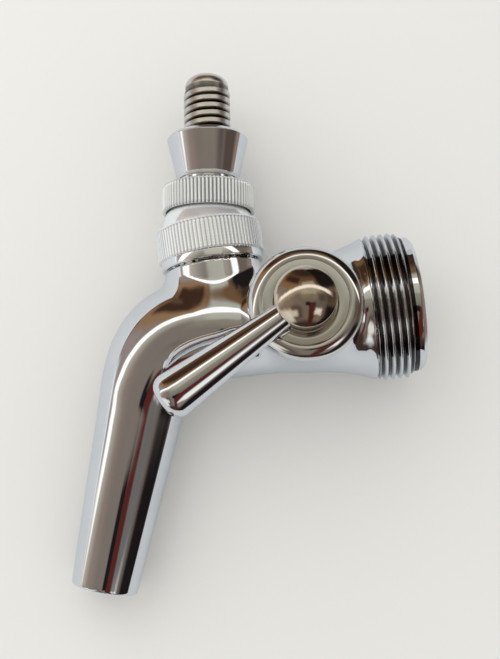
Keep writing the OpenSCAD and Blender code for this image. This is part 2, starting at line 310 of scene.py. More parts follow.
# Behind the elbow, the barrel flares out to the coupling thread.
FLARE_DEPTHS = (FLANGE - 1, FLANGE + 0.3, 11.5, 14.3, 18.5, 23, 29, 34)
FLARE_RADII = (13.95, 13.9, 13.2, 12.3, 11.4, 10.8, 10.42, TUBE_R)
BLEND_START, BLEND_LEN = 25, 8
NECK_FILLET, BOSS_FILLET = 2.2, 3.0


def on_spout(s):
    """The point s millimetres down the spout's axis."""
    return np.array(SPOUT_TOP / MM) + np.array(SPOUT_AXIS) * s


def ease(t):
    """Smooth step from 0 to 1."""
    t = np.clip(t, 0, 1)
    return t * t * (3 - 2 * t)


def make_spine(steps=1600):
    """Length, x, z, heading and curvature along the spine, with long straight ends."""
    s = np.linspace(0, SPINE_LEN, steps)
    curve = ease(s / SPINE_EASE) * ease((SPINE_LEN - s) / SPINE_EASE)
    step = s[1] - s[0]
    heading = np.r_[0, np.cumsum((curve[1:] + curve[:-1]) / 2) * step]
    curve *= TURN / heading[-1]
    heading *= TURN / heading[-1]
    dx, dz = -np.cos(heading), -np.sin(heading)
    x = np.r_[0, np.cumsum((dx[1:] + dx[:-1]) / 2) * step]
    z = np.r_[0, np.cumsum((dz[1:] + dz[:-1]) / 2) * step]
    x += SPOUT_TOP.x / MM - (x[-1] - SPOUT_AXIS.x / SPOUT_AXIS.z * z[-1])
    far = 200.0
    s = np.r_[-far, s, SPINE_LEN + far]
    x = np.r_[x[0] + far, x, x[-1] + far * SPOUT_AXIS.x]
    z = np.r_[0, z, z[-1] + far * SPOUT_AXIS.z]
    return s, x, z, np.r_[0, heading, TURN], np.r_[0, curve, 0]


SPINE = make_spine()
SPINE_END = (on_spout(0)[2] - SPINE[2][-2]) / -SPOUT_AXIS.z
TURN_CENTRE_Z = -19.3


def round_union(a, b, k):
    """Joins two solids with a circular fillet of radius k."""
    return np.maximum(k, np.minimum(a, b)) - np.hypot(np.maximum(k - a, 0), np.maximum(k - b, 0))


def tube(p):
    """Barrel front, elbow and spout as one tube. Returns distance to its side, and length along the spout."""
    s_all, x_all, z_all, heading_all, curve_all = SPINE
    x, y, z = p[..., 0], p[..., 1], p[..., 2]
    along = (p - on_spout(0)) @ np.array(SPOUT_AXIS)
    # A first guess at the nearest station, from the angle round the elbow, is then improved.
    turn_x = x_all[1]
    psi = np.arctan2(-(x - turn_x), z - TURN_CENTRE_Z)
    psi = np.where(psi < -2.2, psi + 2 * math.pi, psi)
    round_elbow = SPINE_LEN * np.clip(psi / TURN, 0, 1)
    down_spout = SPINE_LEN + along - SPINE_END
    s = np.where(x > turn_x, turn_x - x, np.where(along > SPINE_END, down_spout, round_elbow))
    for _ in range(5):
        heading = np.interp(s, s_all, heading_all)
        ox, oz = x - np.interp(s, s_all, x_all), z - np.interp(s, s_all, z_all)
        ahead = -ox * np.cos(heading) - oz * np.sin(heading)
        outward = -ox * np.sin(heading) + oz * np.cos(heading)
        give = np.maximum(1 + outward * np.interp(s, s_all, curve_all), 0.35)
        s = s + np.clip(ahead / give, -6, 6)
    heading = np.interp(s, s_all, heading_all)
    ox, oz = x - np.interp(s, s_all, x_all), z - np.interp(s, s_all, z_all)
    outward = -ox * np.sin(heading) + oz * np.cos(heading)
    out_r = np.interp(s, *smooth_table(STATIONS, OUTWARD))
    in_r = np.interp(s, *smooth_table(STATIONS, INWARD))
    wide = np.where(y < 0, np.interp(s, *smooth_table(STATIONS, FRONTWARD)),
                    np.interp(s, *smooth_table(STATIONS, SIDEWAYS)))
    half, shift = (out_r + in_r) / 2, (out_r - in_r) / 2
    u = outward - shift
    q = np.hypot(u / half, y / wide)
    q2 = np.hypot(u / half ** 2, y / wide ** 2)
    return q * (q - 1) / np.maximum(q2, 1e-9), along


def casting(p):
    """Distance to the body: barrel, elbow, spout, neck and boss blended as one casting."""
    depth, rho = split(p, BARREL)
    flare = np.interp(depth, *smooth_table(FLARE_DEPTHS, FLARE_RADII))
    side, along = tube(p)
    share = ease((depth - BLEND_START) / BLEND_LEN)
    side = np.where(depth < BLEND_START + BLEND_LEN, (1 - share) * (rho - flare) + share * side, side)
    ends = np.maximum(FLANGE - depth, along - SPOUT_LEN)
    corner = 0.45
    body = np.maximum(side, ends)
    near = np.minimum(np.maximum(side + corner, ends + corner), 0)
    rounded = near + np.hypot(np.maximum(side + corner, 0), np.maximum(ends + corner, 0)) - corner
    body = np.where(ends > -3, rounded, body)
    body = round_union(body, rod(p, NECK, NECK_R, -PIVOT.z / MM, NECK_FLANGE, 0.3), NECK_FILLET)
    body = round_union(body, rod(p, BOSS, BOSS_R, 0, DISC_FRONT - DISC_H), BOSS_FILLET)
    # The thread that the compression ring screws on to.
    return np.minimum(body, rod(p, NECK, 8.9, NECK_FLANGE - 0.8, 0.2, 0.3))


def bores(p):
    """Distance to the hollow inside the body."""
    return np.minimum.reduce([
        rod(p, BARREL, REAR_BORE_R, -1, STEM.length / MM),
        rod(p, BARREL, CHAMBER_R, CHAMBER_START, CHAMBER_END),
        rod(p, BARREL, BORE_R, CHAMBER_START, CHAMBER_END + 1.6),
        np.linalg.norm(p - on_spout(ELBOW_BALL_AT), axis=-1) - ELBOW_BALL_R,
        rod(p, SPOUT, BORE_R, ELBOW_BALL_AT, SPOUT_LEN + 3),
        rod(p, NECK, NECK_BORE_R, -PIVOT.z / MM, -2),
        rod(p, NECK, 7.9, NECK_FLANGE, 4),
        rod(p, BOSS, BOSS_BORE_R, -7, 10),
        rod(p, BOSS, 8.5, 9, 22),
    ])


def body_distance(p):
    """Distance to the finished casting, hollow and all."""
    p = np.asarray(p, float)
    return smooth_cut(casting(p), bores(p), 0.35)


def gradient(f, p, h=0.02):
    """Slope of f at each point, by central differences."""
    g = np.empty_like(p)
    for k in range(3):
        step = np.zeros(3)
        step[k] = h
        g[:, k] = (f(p + step) - f(p - step)) / (2 * h)
    return g


def surface_net(f, low, high, cell):
    """Quads on the zero level of f, one vertex per crossed cell, pulled onto the surface."""
    n = np.ceil((np.array(high) - np.array(low)) / cell).astype(int) + 1
    ticks = [low[k] + cell * np.arange(n[k]) for k in range(3)]
    value = np.empty(n, np.float32)
    for i, x in enumerate(ticks[0]):
        yy, zz = np.meshgrid(ticks[1], ticks[2], indexing="ij")
        value[i] = f(np.stack([np.full_like(yy, x), yy, zz], -1).reshape(-1, 3)).reshape(yy.shape)
    inside = value < 0
    total = np.zeros(tuple(n - 1) + (3,), np.float32)
    count = np.zeros(tuple(n - 1), np.int16)
    for axis in range(3):
        a = [slice(None)] * 3
        b = [slice(None)] * 3
        a[axis], b[axis] = slice(0, -1), slice(1, None)
        va, vb = value[tuple(a)], value[tuple(b)]
        cross = (va < 0) != (vb < 0)
        t = np.where(cross, va / np.where(cross, va - vb, 1), 0)
        where = np.argwhere(cross)
        at = where.astype(np.float32)
        at[:, axis] += t[cross]
        others = [k for k in range(3) if k != axis]
        for du in (0, -1):
            for dv in (0, -1):
                c = where.copy()
                c[:, others[0]] += du
                c[:, others[1]] += dv
                ok = ((c >= 0) & (c < n - 1)).all(1)
                np.add.at(total, tuple(c[ok].T), at[ok])
                np.add.at(count, tuple(c[ok].T), 1)
    cells = np.argwhere(count > 0)
    index = np.full(tuple(n - 1), -1, np.int64)
    index[tuple(cells.T)] = np.arange(len(cells))
    verts = total[tuple(cells.T)] / count[tuple(cells.T)][:, None] * cell + np.array(low)
    quads = []
    for axis in range(3):
        a = [slice(None)] * 3
        b = [slice(None)] * 3
        a[axis], b[axis] = slice(0, -1), slice(1, None)
        cross = inside[tuple(a)] != inside[tuple(b)]
        where = np.argwhere(cross)
        out = inside[tuple(a)][cross]
        u, v = [k for k in range(3) if k != axis]
        ring = []
        for du, dv in ((-1, -1), (0, -1), (0, 0), (-1, 0)):
            c = where.copy()
            c[:, u] += du
            c[:, v] += dv
            ring.append(index[tuple(c.T)])
        quad = np.stack(ring, 1)
        flip = out if axis != 1 else ~out
        quad[~flip] = quad[~flip][:, ::-1]
        quads.append(quad)
    return verts.astype(float), np.concatenate(quads)


def relax(f, verts, quads, rounds):
    """Evens out the quads, then puts each point back on the surface."""
    for _ in range(rounds):
        centre = verts[quads].mean(1)
        total = np.zeros_like(verts)
        count = np.zeros(len(verts))
        for k in range(4):
            np.add.at(total, quads[:, k], centre)
            np.add.at(count, quads[:, k], 1)
        move = total / np.maximum(count, 1)[:, None] - verts
        g = gradient(f, verts)
        g /= np.maximum(np.linalg.norm(g, axis=1), 1e-9)[:, None]
        move -= g * (move * g).sum(1)[:, None]
        verts = verts + 0.6 * move
        verts = project(f, verts)
    return verts


def project(f, verts, rounds=3):
    """Moves points along the slope of f until they lie on its zero level."""
    for _ in range(rounds):
        d = f(verts)
        g = gradient(f, verts)
        step = d / np.maximum((g * g).sum(1), 0.2)
        verts = verts - g * np.clip(step, -0.3, 0.3)[:, None]
    return verts


def build_casting():
    """Meshes the casting, with normals straight from the distance field."""
    cell = 0.42
    low, high = (-76, -17.5, -53), (-7, 15.5, 20)
    verts, quads = surface_net(body_distance, low, high, cell)
    verts = relax(body_distance, project(body_distance, verts), quads, 3)
    normals = gradient(body_distance, verts)
    normals /= np.maximum(np.linalg.norm(normals, axis=1), 1e-9)[:, None]
    mesh = bpy.data.meshes.new("body_casting")
    mesh.from_pydata((verts * MM).tolist(), [], quads.tolist())
    mesh.shade_smooth()
    mesh.update()
    mesh.normals_split_custom_set_from_vertices(normals.tolist())
    piece = bpy.data.objects.new("body_casting", mesh)
    bpy.context.scene.collection.objects.link(piece)
    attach(piece, "tap_body")
    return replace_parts(piece, "faucet_body")


body_casting = build_casting()

# ---------------------------------------------------------------- rear coupling
ROOT_R = THREAD_R - THREAD_DEPTH
body_end = lathe(
    "body_coupling_end",
    soften([
        (SOCKET_R, 0, 0.2), (COLLAR_R - 0.75, 0, 0.15), (COLLAR_R, 0.75, 0.15), (COLLAR_R, 1.85, 0.1),
        (12.75, 2.0, 0.05), (12.75, 2.35, 0.05), (ROOT_R - 0.02, 2.5, 0.05), (ROOT_R - 0.02, FLANGE + 0.3, 0),
        (REAR_BORE_R + 0.1, FLANGE + 0.3, 0), (REAR_BORE_R + 0.1, SOCKET_DEPTH, 0.2),
        (SOCKET_R, SOCKET_DEPTH, 0.1),
    ]),
    BARREL, "tap_body", ("faucet_body",), steps=224,
)
body_thread = helix(
    "body_coupling_thread", BARREL, "tap_body", ("faucet_body",), THREAD_R, THREAD_DEPTH,
    THREAD_PITCH, THREAD_START + 0.1, FLANGE - 0.05, ROOT_R - 0.2, True, steps=224,
)


# ---------------------------------------------------------------- knurled rings
KNURL_LOW, KNURL_HIGH, KNURL_R = -4.2, 2.4, 10.6
BAND_LOW, BAND_R, BAND_BORE_R, DOME_R = -5.9, 10.2, 8.95, 9.75
SHOULDER = 0.95
RING_TEETH = 84


def wide_ripple(r, z, angle):
    """Straight knurl on the wide ring, crossed by fine turning lines."""
    if r < KNURL_R - 0.5 or z < KNURL_LOW - 0.01 or z > KNURL_HIGH + 0.01:
        return 0.0
    wave = 0.5 - 0.5 * math.cos(angle * RING_TEETH)
    return -0.11 * wave ** 1.5 - 0.012 * (0.5 - 0.5 * math.cos(z * 2 * math.pi / 0.62))


def ladder(r, low, high, step):
    """Close-set points up a straight side, for a ripple to move."""
    return [(r, z) for z in np.arange(low, high + step / 2, step)]


bonnet = lathe(
    "compression_bonnet_ring",
    soften([
        (BAND_BORE_R, BAND_LOW, 0.1), (BAND_R - 0.2, BAND_LOW, 0.3), (BAND_R, BAND_LOW + 0.24, 0.2),
        (BAND_R, KNURL_LOW - 0.05, 0.05),
    ])[2:]
    + [(KNURL_R - 0.2, KNURL_LOW), (KNURL_R - 0.02, KNURL_LOW + 0.14)]
    + ladder(KNURL_R, KNURL_LOW + 0.3, KNURL_HIGH - 1.1, 0.155)
    + arc((KNURL_R - SHOULDER, KNURL_HIGH - SHOULDER - 0.05), SHOULDER, 6, 84, 9)
    + arc((0, 0), DOME_R, math.degrees(math.asin((KNURL_HIGH - 0.02) / DOME_R)), 47.5, 18)
    + soften([(6.6, 7.18, 0.15), (6.6, 3.7, 0.1), (8.1, 3.7, 0.1), (8.1, 0.3, 0.1), (BAND_BORE_R, 0.3, 0.1)])
    + [(BAND_BORE_R, BAND_LOW + 0.24)],
    NECK, "tap_body", ("compression_bonnet",), steps=RING_TEETH * 8, ripple=wide_ripple, sharp=50,
)

CAP_LOW, CAP_HIGH, CAP_R, CAP_HOLLOW_R, CAP_TEETH = 5.1, 10.55, 9.4, 10.0, 76


def cap_ripple(r, z, angle):
    """Coarser straight knurl on the thin ring."""
    if r < CAP_R - 0.45:
        return 0.0
    wave = 0.5 - 0.5 * math.cos(angle * CAP_TEETH)
    return -0.42 * wave ** 1.3


cap = lathe(
    "dust_cap_ring",
    [(8.78, CAP_LOW + 0.02), (CAP_R - 0.14, CAP_LOW), (CAP_R, CAP_LOW + 0.14)]
    + ladder(CAP_R, CAP_LOW + 0.6, CAP_HIGH - 0.8, 0.55)
    + [(CAP_R, CAP_HIGH - 0.5), (CAP_R - 0.12, CAP_HIGH - 0.28), (CAP_R - 0.38, CAP_HIGH - 0.06)]
    + soften([(CAP_R - 0.7, CAP_HIGH, 0.1), (5.15, CAP_HIGH, 0.1), (5.15, 8.7, 0.05), (5.155, 8.66, 0)])
    + arc((0, 0), CAP_HOLLOW_R, math.degrees(math.acos(5.16 / CAP_HOLLOW_R)),
          math.degrees(math.asin(CAP_LOW / CAP_HOLLOW_R)) + 0.6, 14),
    LEVER, "lever", ("dust_cap",), steps=CAP_TEETH * 10, ripple=cap_ripple, sharp=50,
)

# ---------------------------------------------------------------- lever and its collar
SHAFT_R, SHAFT_LOW, COLLAR_LOW, COLLAR_HIGH = 5.1, 9.9, 12.0, 21.4
collar = lathe(
    "lever_collar_cone",
    soften([
        (5.15, 11.45, 0.1), (5.8, 11.45, 0.1), (5.8, COLLAR_LOW, 0.1), (6.05, COLLAR_LOW + 0.05, 0.12),
        (6.4, COLLAR_LOW + 0.6, 0.15), (8.22, COLLAR_HIGH - 0.95, 0.3), (7.3, COLLAR_HIGH - 0.12, 0.35),
        (6.1, COLLAR_HIGH, 0.3), (5.15, COLLAR_HIGH, 0.2),
    ], steps=6),
    LEVER, "lever", ("lever_collar",), steps=192,
)
STUD_END = STUD_START + STUD_TURNS * STUD_PITCH
STUD_ROOT = STUD_R - STUD_DEPTH
STUD_DOME_R, STUD_DOME_H = 4.45, 2.65
TIP_ARM, TIP_BALL = 17.9, 2.2
lever_core = lathe(
    "tap_lever_core",
    [(0, -TIP_ARM - TIP_BALL)] + arc((0, -TIP_ARM), TIP_BALL, -80, 54, 14)
    + soften([(1.25, -15.2, 0.2), (1.25, -13, 0.2), (2, -12.6, 0.2), (2, -7.0, 0.3)])
    + arc((0, 0), BALL_R, -71, 56, 40)
    + soften([
        (3.6, 6.2, 0.3), (3.6, SHAFT_LOW, 0.1), (SHAFT_R, SHAFT_LOW, 0.15), (SHAFT_R, COLLAR_HIGH - 0.1, 0.2),
        (STUD_ROOT, COLLAR_HIGH, 0.1), (STUD_ROOT, STUD_END - 0.4, 0.1),
    ])
    + [(STUD_DOME_R, STUD_END + 0.25)]
    + [(STUD_DOME_R * math.cos(t) ** 0.8, STUD_END + 0.3 + STUD_DOME_H * math.sin(t) ** 0.9)
       for t in np.radians(np.linspace(3, 87, 14))]
    + [(0, STUD_END + 0.3 + STUD_DOME_H)],
    LEVER, "lever", ("tap_lever",), steps=128,
)
lever_thread = helix(
    "tap_lever_thread", LEVER, "lever", ("tap_lever",), STUD_R, STUD_DEPTH, STUD_PITCH,
    STUD_START - 0.1, STUD_END - 0.1, STUD_ROOT - 0.2, False, steps=120, steep=2.3,
)

# ---------------------------------------------------------------- flow control
BACK = DISC_FRONT - DISC_H
EDGE = 2.4
HUB_FOOT = DISC_FRONT - 1.4
disc = lathe(
    "flow_bonnet_disc",
    soften([
        (8.4, 9.9, 0.2), (8.4, BACK + 0.05, 0.05), (DISC_R - 0.35, BACK + 0.05, 0.2), (DISC_R, BACK + 0.4, 0.2),
    ])
    + arc((DISC_R - EDGE, DISC_FRONT - EDGE), EDGE, 0, 86, 16)
    + soften([
        (DISC_R - EDGE - 0.35, DISC_FRONT, 0.1), (5.8, DISC_FRONT, 0.16), (5.8, DISC_FRONT - 1.6, 0.15),
        (4.1, DISC_FRONT - 1.6, 0.1), (4.1, 9.9, 0.1),
    ]),
    BOSS, "tap_body", ("flow_bonnet",), steps=224,
)
hub = lathe(
    "flow_hub_ball",
    soften([(3.05, HUB_FOOT, 0.05), (HUB_R, HUB_FOOT, 0.1), (HUB_R, HUB_RIM - 0.02, 0.3),
            (HUB_R - 0.22, HUB_RIM + 0.16, 0)])[:-1]
    + arc((0, HUB_RIM - HUB_DROP), HUB_DOME_R, math.degrees(math.acos((HUB_R - 0.3) / HUB_DOME_R)), 90, 40)[:-1]
    + [(0, hub_top), (0, HUB_Y + 0.7), (3.05, HUB_Y + 0.7)],
    BOSS, "flow_control", ("flow_hub",), steps=160,
)
direction = Vector((-math.cos(FLOW_ANGLE), 0, -math.sin(FLOW_ANGLE)))
HANDLE = axes(STEM + Vector((0, -HUB_Y * MM, 0)), direction, (0, -1, 0))
handle = lathe(
    "flow_handle_cone",
    [(0, 4.6), (2.3, 4.6)]
    + [(2.3 + (4.22 - 2.3) * t ** 1.05, 4.6 + 23.6 * t) for t in np.linspace(0.08, 1, 14)]
    + arc((1.7, 28.35), 2.5, 4, 80, 12) + [(0, FLOW_LEN)],
    HANDLE, "flow_control", ("flow_handle",), steps=160,
)


# ---------------------------------------------------------------- materials
def material(name):
    """A new material, with its node tree and its main shader."""
    m = bpy.data.materials.new(name)
    m.use_nodes = True
    tree = m.node_tree
    return m, tree, tree.nodes["Principled BSDF"]


def add(tree, kind, inputs=(), **settings):
    """A new node. settings are its own properties. inputs maps a socket to a value, or to the
    output that feeds it."""
    n = tree.nodes.new("ShaderNode" + kind)
    for key, value in settings.items():
        setattr(n, key, value)
    for key, value in dict(inputs).items():
        if isinstance(value, bpy.types.NodeSocket):
            tree.links.new(value, n.inputs[key])
        else:
            n.inputs[key].default_value = value
    return n


def maths(tree, operation, a, b=0.0):
    return add(tree, "Math", {0: a, 1: b}, operation=operation).outputs[0]


def noise(tree, scale, detail=4.0, stretch=(1, 1, 1), rough=0.5):
    """Noise in a piece's own space."""
    place = add(tree, "TexCoord").outputs["Object"]
    mapping = add(tree, "Mapping", {"Vector": place, "Scale": stretch})
    tex = add(tree, "TexNoise", {
        "Vector": mapping.outputs["Vector"], "Scale": scale, "Detail": detail, "Roughness": rough,
    })
    return tex.outputs["Fac"]


def ramp(tree, value, stops):
    """Colours from a 0 to 1 value. stops are (value, colour) in rising order."""
    r = add(tree, "ValToRGB", {"Fac": value})
    while len(r.color_ramp.elements) < len(stops):
        r.color_ramp.elements.new(0.5)
    for e, (at, colour) in zip(r.color_ramp.elements, stops):
        e.position = at
        e.color = (*colour, 1)
    return r.outputs["Color"]


def grey(v):
    return (v, v, v)


def bump(tree, shader, height, strength):
    b = add(tree, "Bump", {"Height": height, "Strength": strength, "Distance": BUMP_DEPTH})
    tree.links.new(b.outputs["Normal"], shader.inputs["Normal"])


def between(tree, value, stops):
    """A 0 to 1 factor from a length: stops are (millimetres, factor) in rising order."""
    first, last = stops[0][0], stops[-1][0]
    span = add(tree, "MapRange", {"Value": value, "From Min": first * MM, "From Max": last * MM})
    return ramp(tree, span.outputs["Result"], [((at - first) / (last - first), grey(v)) for at, v in stops])


def own_place(tree):
    """Distance from a piece's own axis, and height along it."""
    place = add(tree, "TexCoord").outputs["Object"]
    flat = add(tree, "VectorMath", {0: place, 1: (1, 1, 0)}, operation="MULTIPLY")
    size = add(tree, "VectorMath", {0: flat.outputs["Vector"]}, operation="LENGTH")
    return size.outputs["Value"], add(tree, "SeparateXYZ", {"Vector": place}).outputs["Z"]


def grooves(tree, shader, root, crest, low, high, dark):
    """Darkens what lies between two radii and two heights on a piece's own axis: the thread or
    knurl valleys, where less light gets in."""
    radius, height = own_place(tree)
    deep = between(tree, radius, [(root, 1), (crest, 0)])
    held = between(tree, height, [(low - 0.1, 0), (low, 1), (high, 1), (high + 0.1, 0)])
    shade = add(tree, "Mix", {
        "Factor": maths(tree, "MULTIPLY", deep, held),
        "A": shader.inputs["Base Color"].links[0].from_socket,
        "B": (*grey(dark), 1),
    }, data_type="RGBA")
    tree.links.new(shade.outputs["Result"], shader.inputs["Base Color"])


def chrome(name, tint=(0.86, 0.865, 0.87), low=0.02, high=0.07, metallic=1.0, groove=None):
    """Bright plating: almost a mirror, with faint polishing haze and a trace of waviness."""
    m, tree, shader = material(name)
    shader.inputs["Metallic"].default_value = metallic
    haze = noise(tree, 420, 5)
    tree.links.new(ramp(tree, haze, [(0.35, grey(low)), (0.75, grey(high))]), shader.inputs["Roughness"])
    dim = tuple(c * 0.93 for c in tint)
    tone = noise(tree, 90, 3)
    tree.links.new(ramp(tree, tone, [(0.3, tint), (0.8, dim)]), shader.inputs["Base Color"])
    bump(tree, shader, noise(tree, 160, 2), 0.04)
    if groove:
        grooves(tree, shader, *groove)
    return m


def turned(name, tint, low, high, stretch, scale=260, anisotropic=0.0, strength=0.08, groove=None):
    """Satin machined steel: fine tool lines round the piece's own axis."""
    m, tree, shader = material(name)
    shader.inputs["Metallic"].default_value = 1
    lines = noise(tree, scale, 6, stretch, 0.7)
    tree.links.new(ramp(tree, lines, [(0.3, grey(low)), (0.7, grey(high))]), shader.inputs["Roughness"])
    dark = tuple(c * 0.78 for c in tint)
    tree.links.new(ramp(tree, lines, [(0.25, dark), (0.7, tint)]), shader.inputs["Base Color"])
    bump(tree, shader, lines, strength)
    if anisotropic:
        shader.inputs["Anisotropic"].default_value = anisotropic
        tangent = add(tree, "Tangent", direction_type="RADIAL", axis="Z")
        tree.links.new(tangent.outputs["Tangent"], shader.inputs["Tangent"])
    if groove:
        grooves(tree, shader, *groove)
    return m


def plain(name, tint, roughness, scale=500, spread=0.12, strength=0.1):
    """Rubber and plastic: soft mottling and a fine moulded grain."""
    m, tree, shader = material(name)
    grain = noise(tree, scale, 6)
    dark = tuple(c * (1 - 2 * spread) for c in tint)
    tree.links.new(ramp(tree, grain, [(0.3, dark), (0.7, tint)]), shader.inputs["Base Color"])
    tree.links.new(ramp(tree, grain, [(0.2, grey(roughness)), (0.8, grey(min(1, roughness + 0.15)))]),
                   shader.inputs["Roughness"])
    bump(tree, shader, grain, strength)
    return m


def plain_ends(m, low, high):
    """Leaves the satin look between two heights and makes the rest mirror plating."""
    tree = m.node_tree
    shader = tree.nodes["Principled BSDF"]
    height = own_place(tree)[1]
    metal = between(tree, height, [(low - 0.1, 1), (low + 0.1, 0.5), (high - 0.2, 0.5), (high + 0.6, 0.6)])
    tree.links.new(metal, shader.inputs["Metallic"])
    calm = add(tree, "MapRange", {"Value": metal, "From Min": 0.5, "To Min": 1.0, "To Max": 0.25})
    haze = shader.inputs["Roughness"].links[0].from_socket
    tree.links.new(maths(tree, "MULTIPLY", haze, calm.outputs["Result"]), shader.inputs["Roughness"])


BUMP_DEPTH = 0.0002
CHROME = chrome("chrome_plate")
DISC_CHROME = chrome("chrome_disc", (0.80, 0.79, 0.76), 0.05, 0.11)
THREAD_CHROME = chrome(
    "chrome_thread", (0.82, 0.82, 0.82), 0.03, 0.09,
    groove=(ROOT_R + 0.05, THREAD_R - 0.25, THREAD_START - 1, FLANGE + 1, 0.10),
)
KNURL_CHROME = chrome(
    "chrome_knurl", (0.96, 0.975, 0.97), 0.12, 0.25, 0.5,
    groove=(KNURL_R - 0.13, KNURL_R - 0.03, KNURL_LOW + 0.2, KNURL_HIGH - 0.7, 0.42),
)
plain_ends(KNURL_CHROME, KNURL_LOW, KNURL_HIGH)
CAP_CHROME = chrome(
    "chrome_cap", (0.96, 0.975, 0.97), 0.10, 0.22, 0.5,
    groove=(CAP_R - 0.44, CAP_R - 0.12, CAP_LOW + 0.1, CAP_HIGH - 0.45, 0.28),
)
STUD_STEEL = turned(
    "stud_steel", (0.84, 0.79, 0.71), 0.24, 0.34, (1, 1, 4), 160, strength=0.04,
    groove=(STUD_ROOT + 0.2, STUD_R - 0.08, COLLAR_HIGH, STUD_END + 0.15, 0.05),
)
HUB_STEEL = turned("hub_steel", (0.74, 0.64, 0.52), 0.04, 0.10, (1, 1, 10), 240, anisotropic=0.3)
SHAFT_STEEL = turned("shaft_steel", (0.62, 0.62, 0.61), 0.22, 0.36, (1, 1, 12), 200)
RUBBER = plain("seal_rubber", (0.02, 0.02, 0.021), 0.55)
BEARING = plain("bearing_plastic", (0.78, 0.77, 0.70), 0.35, 300, 0.04)
WASHER = plain("washer_plastic", (0.025, 0.025, 0.028), 0.4, 400, 0.1)


def paint(piece, m):
    """Gives a piece one material."""
    if piece.data.materials:
        for s in piece.material_slots:
            s.material = m
    else:
        piece.data.materials.append(m)


for piece, m, slot_name in (
    (body_casting, CHROME, "body_chrome"),
    (body_end, CHROME, "body_chrome"),
    (body_thread, THREAD_CHROME, "body_chrome"),
    (bonnet, KNURL_CHROME, "knurled_chrome"),
    (cap, CAP_CHROME, "knurled_chrome"),
    (collar, CHROME, "body_chrome"),
    (lever_core, STUD_STEEL, "lever_steel"),
    (lever_thread, STUD_STEEL, "lever_steel"),
    (disc, DISC_CHROME, "disc_chrome"),
    (hub, HUB_STEEL, "hub_steel"),
    (handle, CHROME, "body_chrome"),
):
    paint(piece, m)

SLOT_FINISH = {
    "shaft_steel": SHAFT_STEEL, "seal_rubber": RUBBER, "bearing_plastic": BEARING, "washer_plastic": WASHER,
    "body_chrome": CHROME, "disc_chrome": DISC_CHROME, "knurled_chrome": KNURL_CHROME,
    "lever_steel": STUD_STEEL, "hub_steel": HUB_STEEL,
}
for part in RECORD["subparts"]:
    paint(frame["nodes"][part["node"]], SLOT_FINISH[part["material_slot"]])


# ---------------------------------------------------------------- camera
AZIMUTH, ELEVATION, ROLL = (math.radians(v) for v in (2.92, -7.64, -6.65))
AIM = Vector((-33.07, 0, -1.15)) * MM
DISTANCE = 177.5 * MM
camera = bpy.data.objects.new("camera", bpy.data.cameras.new("camera"))
bpy.context.scene.collection.objects.link(camera)
camera.data.sensor_width = 36
camera.data.lens = 48.85
camera.data.clip_start = 0.005
back = Vector((
    math.sin(AZIMUTH) * math.cos(ELEVATION), -math.cos(AZIMUTH) * math.cos(ELEVATION), math.sin(ELEVATION),
))
turn = (-back).to_track_quat("-Z", "Y").to_matrix().to_4x4()
camera.matrix_world = Matrix.Translation(AIM + back * DISTANCE) @ turn @ Matrix.Rotation(ROLL, 4, "Z")
bpy.context.scene.camera = camera


# ---------------------------------------------------------------- studio floor
def sheet(name, centre, normal, up, width, height):
    """A flat stage card facing normal."""
    bm = bmesh.new()
    for x, y in ((-1, -1), (1, -1), (1, 1), (-1, 1)):
        bm.verts.new((x * width / 2, y * height / 2, 0))
    bm.faces.new(bm.verts)
    mesh = bpy.data.meshes.new(name)
    bm.to_mesh(mesh)
    bm.free()
    card = bpy.data.objects.new(name, mesh)
    bpy.context.scene.collection.objects.link(card)
    card.matrix_world = axes(centre, normal, Vector(up).cross(Vector(normal)))
    return card


# The tap lies on its side, so the floor is the plane under its +Y side: it touches the
# coupling thread, the wide ring and the spout tip.
TABLE_TILT_X, TABLE_TILT_Z, TABLE_END = 0.116, 0.018, 40
table_point = Vector((-5.6, 14.75, 0)) * MM
table_normal = Vector((TABLE_TILT_X, -1, TABLE_TILT_Z))
table = sheet("floor", table_point, table_normal, (0, 0, 1), 3.0, 3.0)

floor_mat, tree, shader = material("floor")
shader.inputs["Roughness"].default_value = 0.6
shader.inputs["Specular IOR Level"].default_value = 0.25
in_reflection = add(tree, "LightPath").outputs["Is Glossy Ray"]
paper = ramp(tree, noise(tree, 6, 2), [(0.3, (0.825, 0.815, 0.79)), (0.7, (0.85, 0.84, 0.815))])
# Painted shade: in the tap's reflections the floor is painted a darker, bluish grey instead of the pale paper
# the camera sees.
tone = add(tree, "Mix", {"Factor": in_reflection, "A": paper, "B": (0.66, 0.69, 0.73, 1)}, data_type="RGBA")
tree.links.new(tone.outputs["Result"], shader.inputs["Base Color"])
# From behind, the floor is clear, so that no view of the tap is blocked by it. In the tap's
# reflections the table ends a little way off to the right.
facing = add(tree, "NewGeometry")
where = add(tree, "SeparateXYZ", {"Vector": facing.outputs["Position"]})
past_end = maths(tree, "GREATER_THAN", where.outputs["X"], TABLE_END * MM)
cut_off = maths(tree, "MULTIPLY", past_end, in_reflection)
shown = add(tree, "MixShader", {
    "Fac": maths(tree, "MAXIMUM", cut_off, facing.outputs["Backfacing"]),
    1: shader.outputs["BSDF"],
    2: add(tree, "BsdfTransparent").outputs["BSDF"],
})
tree.links.new(shown.outputs["Shader"], tree.nodes["Material Output"].inputs["Surface"])
table.data.materials.append(floor_mat)

# ---------------------------------------------------------------- studio room, seen in the chrome
world = bpy.data.worlds.new("studio")
bpy.context.scene.world = world
world.use_nodes = True
sky = world.node_tree
sky.nodes.clear()


def window(value, low, high, soft):
    """1 between low and high, with soft edges."""
    up, down = (
        add(sky, "MapRange", {"Value": value, "From Min": start, "From Max": end},
            interpolation_type="SMOOTHSTEP").outputs["Result"]
        for start, end in ((low - soft, low + soft), (high + soft, high - soft))
    )
    return maths(sky, "MULTIPLY", up, down)


